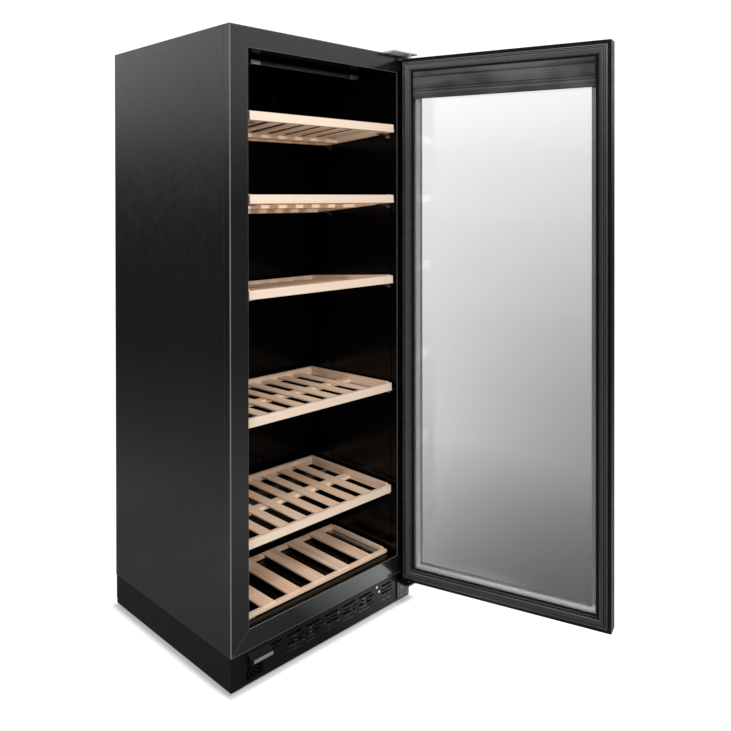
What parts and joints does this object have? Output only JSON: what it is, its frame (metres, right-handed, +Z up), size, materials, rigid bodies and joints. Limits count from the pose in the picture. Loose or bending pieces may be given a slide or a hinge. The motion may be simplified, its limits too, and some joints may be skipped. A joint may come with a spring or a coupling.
{
  "type": "wine cooler",
  "caption": "Tall free-standing black wine cooler with a swinging glass door, sliding wooden shelves, ceiling light, slotted kickplate and levelling feet.",
  "frame": {"origin": "centre of the cabinet's footprint, on the floor plane that the feet rest on", "axes": "+X right seen from the front, +Y from the front to the back, +Z up"},
  "size_m": [0.7841, 1.1505, 1.5572],
  "materials": {
    "casing_black": "satin",
    "frame_black": "satin",
    "base_black": "satin",
    "liner_black": "gloss",
    "foam_cream": "matte",
    "zinc_sheet": "satin",
    "hinge_grey": "satin",
    "bracket_black": "satin",
    "screw_steel": "satin",
    "bright_strip": "satin",
    "door_black": "satin",
    "gasket_black": "satin",
    "pane_glass": "polished",
    "spacer_aluminium": "satin",
    "header_black": "satin",
    "board_green": "satin",
    "handle_black": "satin",
    "lock_steel": "polished",
    "bush_white": "matte",
    "shelf_wood": "satin",
    "clip_steel": "satin",
    "lamp_white": "satin",
    "lamp_clip": "satin",
    "fin_aluminium": "satin",
    "compressor_black": "satin",
    "fan_black": "satin",
    "tray_grey": "matte",
    "copper": "satin",
    "foot_black": "matte"
  },
  "bodies": {
    "cabinet": {"side_panel_left": "casing_black", "side_panel_right": "casing_black", "top_panel": "casing_black", "rear_panel": "zinc_sheet", "machine_cover": "zinc_sheet", "face_frame_left": "frame_black", "face_frame_right": "frame_black", "face_frame_top": "frame_black", "face_frame_sill": "frame_black", "inner_liner": "liner_black", "insulation_foam": "foam_cream", "duct_panel": "liner_black", "base_skirt_left": "base_black", "base_skirt_right": "base_black", "base_grille": "base_black", "kickplate_insert": "base_black", "latch_hood": "base_black", "keeper_strip": "bright_strip", "base_pan": "zinc_sheet", "floor_panel": "zinc_sheet", "hinge_bracket_top": "hinge_grey", "hinge_bracket_bottom": "bracket_black", "cabinet_screws": "screw_steel", "shelf_strips": "liner_black", "shelf_clips": "clip_steel", "light_tube": "lamp_white", "light_clips": "lamp_clip", "evaporator": "fin_aluminium", "duct_fan_frame": "fan_black", "condenser": "fin_aluminium", "fan_shroud": "fan_black", "compressor": "compressor_black", "drip_tray": "tray_grey", "refrigerant_tubes": "copper", "power_inlet": "base_black"},
    "door": {"door_stile_free": "door_black", "door_stile_hinge": "door_black", "door_rail_top": "door_black", "door_rail_bottom": "door_black", "door_gasket": "gasket_black", "glass_panes": "pane_glass", "glass_spacers": "spacer_aluminium", "header_cover": "header_black", "control_board": "board_green", "door_handle": "handle_black", "hinge_bushes": "bush_white"},
    "lock": {"lock_barrel": "lock_steel"},
    "shelf_1": {"shelf_1": "shelf_wood"},
    "shelf_2": {"shelf_2": "shelf_wood"},
    "shelf_3": {"shelf_3": "shelf_wood"},
    "shelf_4": {"shelf_4": "shelf_wood"},
    "shelf_5": {"shelf_5": "shelf_wood"},
    "shelf_6": {"shelf_6": "shelf_wood"},
    "duct_fan": {"duct_fan": "fan_black"},
    "condenser_fan": {"condenser_fan": "fan_black"},
    "foot_front_left": {"foot_front_left": "foot_black"},
    "foot_front_right": {"foot_front_right": "foot_black"},
    "foot_rear_left": {"foot_rear_left": "foot_black"},
    "foot_rear_right": {"foot_rear_right": "foot_black"}
  },
  "joints": [
    {"name": "door_hinge", "type": "hinge", "parent": "cabinet", "child": "door", "pos_m": [0.272, -0.316, 0], "axis": [0, 0, 1], "range_deg": [-106, 3]},
    {"name": "lock_turn", "type": "hinge", "parent": "door", "child": "lock", "pos_m": [0.43014, -0.78768, 0.09], "axis": [-0.9613, -0.2756, 0], "range_deg": [0, 90]},
    {"name": "shelf_1_slide", "type": "slide", "parent": "cabinet", "child": "shelf_1", "axis": [0, -0.9966, 0.0819], "range_m": [0, 0.15]},
    {"name": "shelf_2_slide", "type": "slide", "parent": "cabinet", "child": "shelf_2", "axis": [0, -0.9954, 0.0958], "range_m": [0, 0.15]},
    {"name": "shelf_3_slide", "type": "slide", "parent": "cabinet", "child": "shelf_3", "axis": [0, -0.9973, 0.0732], "range_m": [0, 0.15]},
    {"name": "shelf_4_slide", "type": "slide", "parent": "cabinet", "child": "shelf_4", "axis": [0, -0.9997, 0.0262], "range_m": [0, 0.15]},
    {"name": "shelf_5_slide", "type": "slide", "parent": "cabinet", "child": "shelf_5", "axis": [0, -1, 0], "range_m": [0, 0.15]},
    {"name": "shelf_6_slide", "type": "slide", "parent": "cabinet", "child": "shelf_6", "axis": [0, -1, 0], "range_m": [0, 0.1]},
    {"name": "duct_fan_spin", "type": "hinge", "parent": "cabinet", "child": "duct_fan", "pos_m": [0, 0.125, 1.4], "axis": [0, 1, 0], "continuous": true},
    {"name": "condenser_fan_spin", "type": "hinge", "parent": "cabinet", "child": "condenser_fan", "pos_m": [-0.145, 0.12, 0.095], "axis": [0, 1, 0], "continuous": true},
    {"name": "foot_front_left_screw", "type": "slide", "parent": "cabinet", "child": "foot_front_left", "axis": [0, 0, -1], "range_m": [0, 0.012]},
    {"name": "foot_front_right_screw", "type": "slide", "parent": "cabinet", "child": "foot_front_right", "axis": [0, 0, -1], "range_m": [0, 0.012]},
    {"name": "foot_rear_left_screw", "type": "slide", "parent": "cabinet", "child": "foot_rear_left", "axis": [0, 0, -1], "range_m": [0, 0.012]},
    {"name": "foot_rear_right_screw", "type": "slide", "parent": "cabinet", "child": "foot_rear_right", "axis": [0, 0, -1], "range_m": [0, 0.012]}
  ]
}
